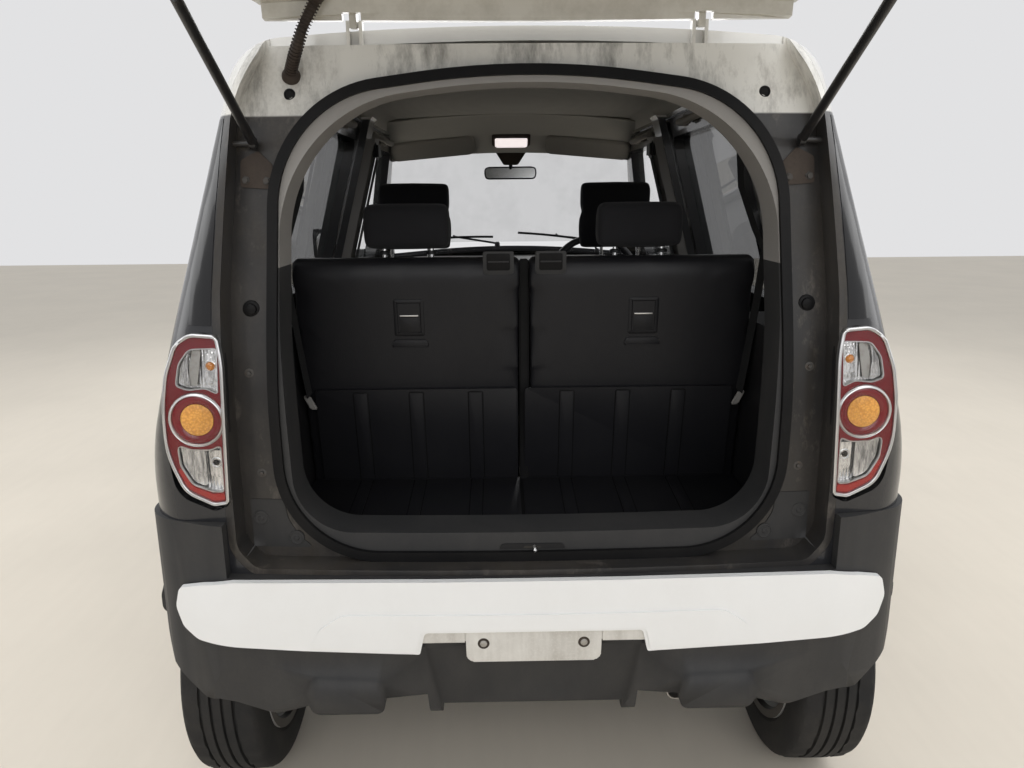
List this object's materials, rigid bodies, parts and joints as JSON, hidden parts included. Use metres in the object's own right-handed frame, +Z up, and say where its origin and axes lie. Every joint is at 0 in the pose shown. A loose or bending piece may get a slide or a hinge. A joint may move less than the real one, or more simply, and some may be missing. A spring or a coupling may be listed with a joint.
{
  "type": "kei car",
  "caption": "Upright kei car with a white roof, dark body and arch cladding, its tailgate held up on gas struts over an empty luggage space.",
  "frame": {"origin": "middle of the ground under the whole car, with the tailgate open", "axes": "+X to the right of the car, +Y forward, +Z up"},
  "size_m": [1.732, 4.1362, 1.7626],
  "materials": {
    "body_paint": "gloss dark grey",
    "gutter_paint": "dusty dark grey",
    "roof_paint": "gloss white",
    "garnish_white": "satin white",
    "cladding": "grained dark grey",
    "trim_black": "grained black",
    "trim_grey": "light grey",
    "headlining": "grey felt",
    "seat_fabric": "black cloth",
    "seal_rubber": "matte",
    "tyre": "dusty black",
    "rim_paint": "white",
    "glass_clear": "clear",
    "glass_dark": "smoked",
    "lamp_lens": "red and clear lens",
    "lamp_clear": "clear lens",
    "under_metal": "black chassis paint",
    "cast": "cast",
    "exhaust_steel": "aged steel",
    "strut_black": "gloss black",
    "rod_steel": "polished"
  },
  "bodies": {
    "root": {"body_sides": "body_paint", "cowl_panel": "trim_black", "dashboard": "trim_black", "engine_block": "cast", "exhaust": "exhaust_steel", "floor_pan": "under_metal", "front_bumper": "body_paint", "front_fenders": "body_paint", "front_garnish": "garnish_white", "front_seats": "seat_fabric", "front_subframe": "under_metal", "fuel_tank": "under_metal", "grille": "trim_black", "headlamps": "lamp_clear", "headliner": "headlining", "luggage_board": "trim_black", "luggage_trim": "trim_black", "opening_seal": "seal_rubber", "opening_trim": "trim_grey", "quarter_glass": "glass_dark", "rear_axle": "under_metal", "rear_bumper": "cladding", "rear_garnish": "garnish_white", "rear_seats": "seat_fabric", "roof_panel": "roof_paint", "seat_panels": "trim_black", "side_cladding": "cladding", "sill_trim": "trim_black", "steering_wheel": "trim_black", "tail_frame": "gutter_paint", "tail_lamps": "lamp_lens", "windscreen": "glass_clear"},
    "tailgate": {"tailgate": "body_paint", "tailgate_glass": "glass_dark"},
    "strut_tubes": {"strut_tubes": "strut_black"},
    "strut_rods": {"strut_rods": "rod_steel"},
    "hood": {"hood": "body_paint"},
    "knuckle_right": {"knuckle_right": "cast"},
    "door_front_right": {"door_front_right": "body_paint", "glass_front_right": "glass_clear"},
    "wheel_front_right": {"tyre_front_right": "tyre", "rim_front_right": "rim_paint"},
    "door_rear_right": {"door_rear_right": "body_paint", "glass_rear_right": "glass_dark"},
    "wheel_rear_right": {"tyre_rear_right": "tyre", "rim_rear_right": "rim_paint"},
    "knuckle_left": {"knuckle_left": "cast"},
    "door_front_left": {"door_front_left": "body_paint", "glass_front_left": "glass_clear"},
    "wheel_front_left": {"tyre_front_left": "tyre", "rim_front_left": "rim_paint"},
    "door_rear_left": {"door_rear_left": "body_paint", "glass_rear_left": "glass_dark"},
    "wheel_rear_left": {"tyre_rear_left": "tyre", "rim_rear_left": "rim_paint"}
  },
  "joints": [
    {"name": "tailgate_hinge", "type": "hinge", "parent": "root", "child": "tailgate", "pos_m": [0, -1.12625, 1.603], "axis": [1, 0, 0], "range_deg": [0, 88]},
    {"name": "strut_turn", "type": "hinge", "parent": "root", "child": "strut_tubes", "pos_m": [0, -1.16971, 1.405], "axis": [1, 0, 0], "range_deg": [0, 108.43]},
    {"name": "strut_slide", "type": "slide", "parent": "strut_tubes", "child": "strut_rods", "axis": [0, -0.8684, 0.4959], "range_m": [-0.22906, 0]},
    {"name": "hood_hinge", "type": "hinge", "parent": "root", "child": "hood", "pos_m": [0, 1.35875, 1.052], "axis": [1, 0, 0], "range_deg": [0, 55]},
    {"name": "door_front_right_hinge", "type": "hinge", "parent": "root", "child": "door_front_right", "pos_m": [0.697, 1.05925, 0.9], "axis": [0, 0, 1], "range_deg": [0, 65]},
    {"name": "door_rear_right_hinge", "type": "hinge", "parent": "root", "child": "door_rear_right", "pos_m": [0.697, 0.04825, 0.9], "axis": [0, 0, 1], "range_deg": [0, 65]},
    {"name": "steer_right", "type": "hinge", "parent": "root", "child": "knuckle_right", "pos_m": [0.601, 1.53375, 0.17], "axis": [-0.2085, 0, 0.978], "range_deg": [-33, 33]},
    {"name": "spin_front_right", "type": "hinge", "parent": "knuckle_right", "child": "wheel_front_right", "pos_m": [0.645, 1.53375, 0.2895], "axis": [1, 0, 0], "continuous": true},
    {"name": "spin_rear_right", "type": "hinge", "parent": "root", "child": "wheel_rear_right", "pos_m": [0.645, -0.89125, 0.2895], "axis": [1, 0, 0], "continuous": true},
    {"name": "door_front_left_hinge", "type": "hinge", "parent": "root", "child": "door_front_left", "pos_m": [-0.697, 1.05925, 0.9], "axis": [0, 0, -1], "range_deg": [0, 65]},
    {"name": "door_rear_left_hinge", "type": "hinge", "parent": "root", "child": "door_rear_left", "pos_m": [-0.697, 0.04825, 0.9], "axis": [0, 0, -1], "range_deg": [0, 65]},
    {"name": "steer_left", "type": "hinge", "parent": "root", "child": "knuckle_left", "pos_m": [-0.601, 1.53375, 0.17], "axis": [0.2085, 0, 0.978], "range_deg": [-33, 33]},
    {"name": "spin_front_left", "type": "hinge", "parent": "knuckle_left", "child": "wheel_front_left", "pos_m": [-0.645, 1.53375, 0.2895], "axis": [1, 0, 0], "continuous": true},
    {"name": "spin_rear_left", "type": "hinge", "parent": "root", "child": "wheel_rear_left", "pos_m": [-0.645, -0.89125, 0.2895], "axis": [1, 0, 0], "continuous": true}
  ],
  "couplings": [
    {"joint": "strut_turn", "follows": "tailgate_hinge", "ratio": 1.2321},
    {"joint": "strut_slide", "follows": "tailgate_hinge", "m_per_rad": -0.14908},
    {"joint": "steer_left", "follows": "steer_right", "ratio": 1}
  ]
}
